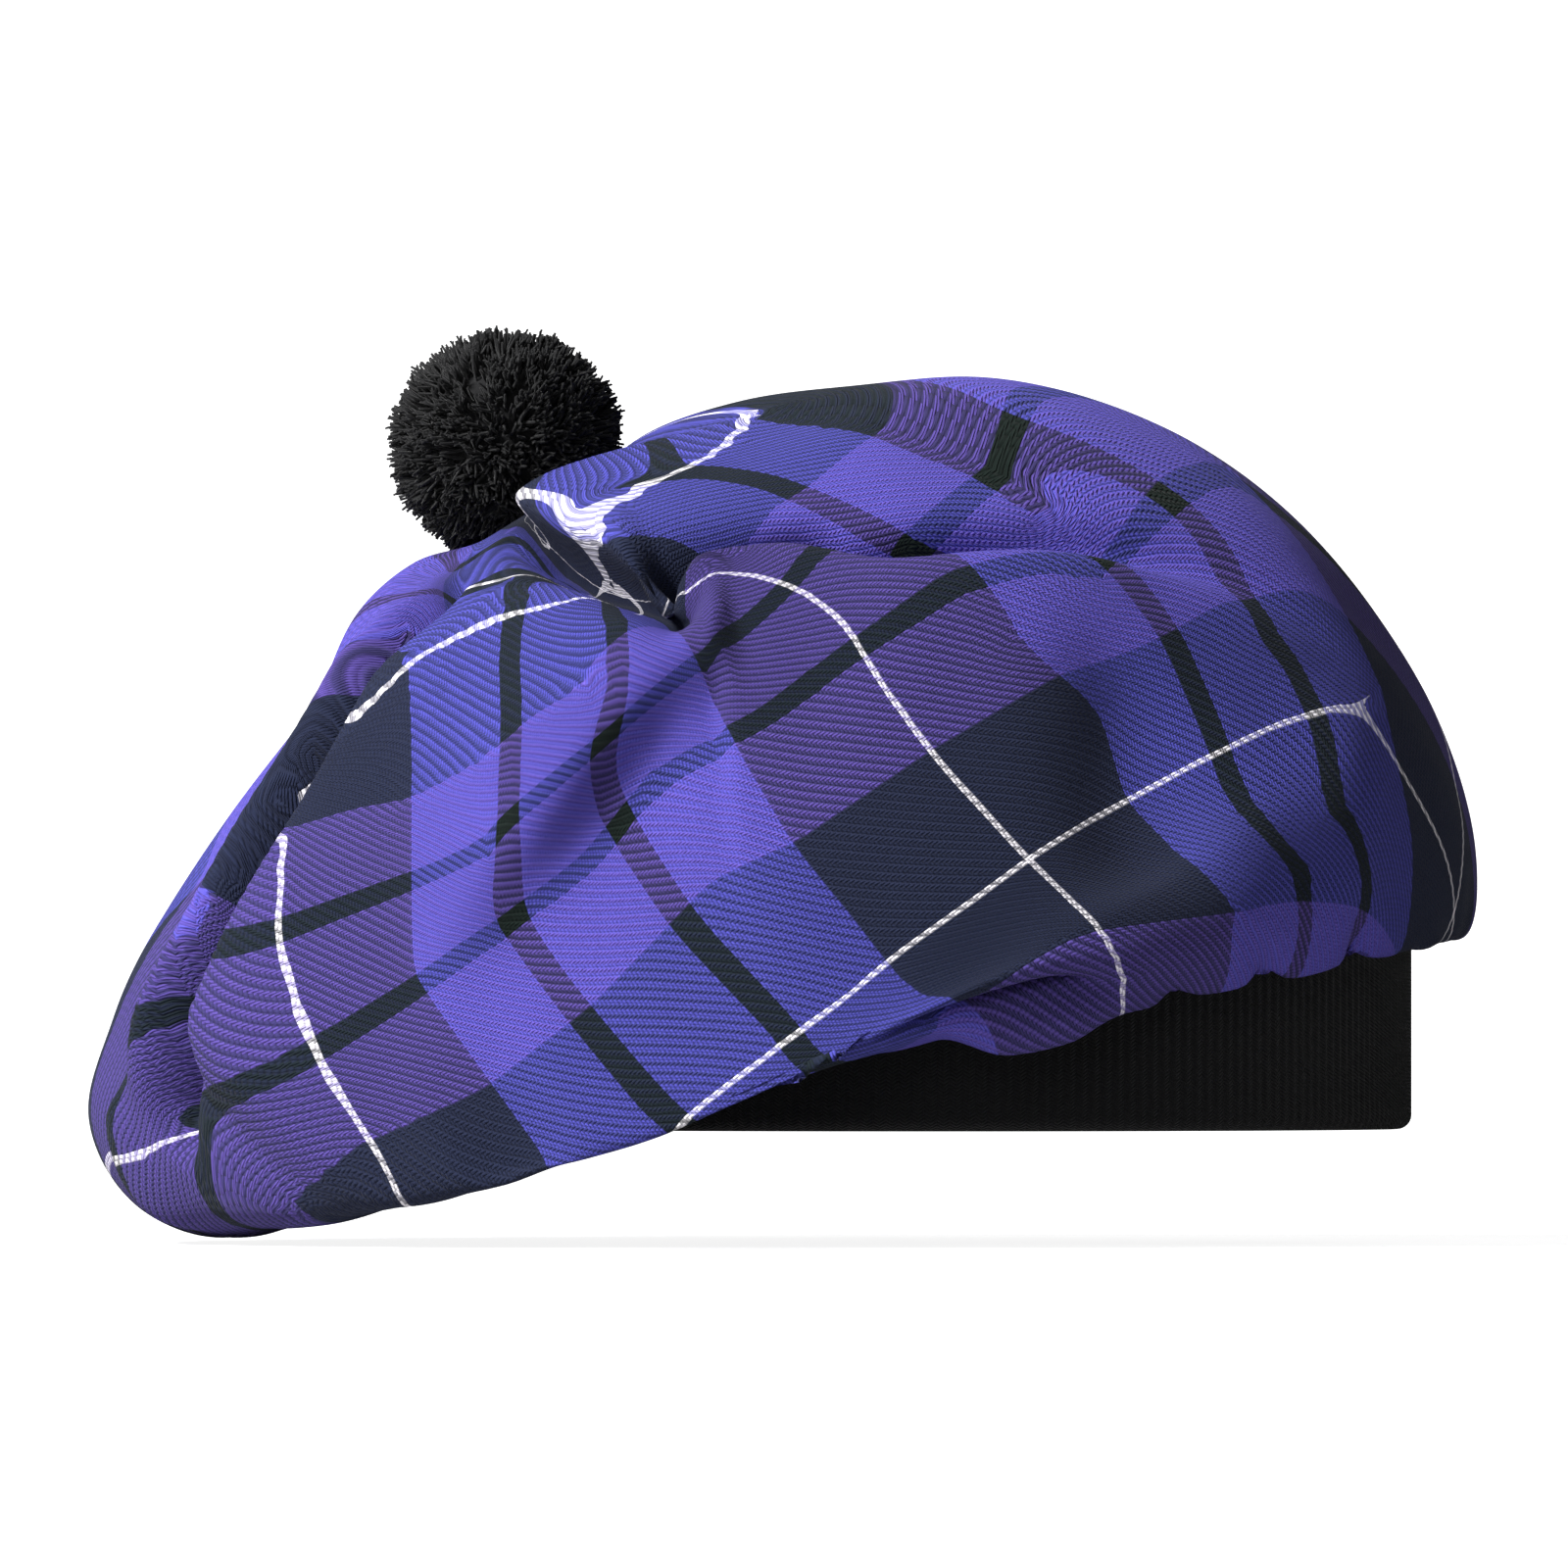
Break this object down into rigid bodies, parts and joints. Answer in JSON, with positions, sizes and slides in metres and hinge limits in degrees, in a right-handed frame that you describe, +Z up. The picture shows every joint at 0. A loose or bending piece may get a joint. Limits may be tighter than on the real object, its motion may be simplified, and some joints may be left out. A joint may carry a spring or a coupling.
{
  "type": "tam o'shanter cap",
  "caption": "Floppy tartan tam o'shanter with a wide crown draped to one side, a black ribbed knit headband and a round black wool toorie.",
  "frame": {"origin": "middle of the head opening at the headband's lower edge; the crown's flop hangs 19 mm below it on the left", "axes": "+Z up out of the wearer's head, -Y towards the viewer of the picture, +X to that viewer's right; the crown flops towards -X"},
  "size_m": [0.252, 0.2332, 0.1656],
  "materials": {
    "tartan_cloth": "wool twill, matt",
    "black_knit": "fine ribbed knit, matt",
    "black_wool": "cut wool pile, matt"
  },
  "bodies": {
    "root": {"crown": "tartan_cloth", "headband": "black_knit", "toorie": "black_wool"}
  },
  "joints": []
}
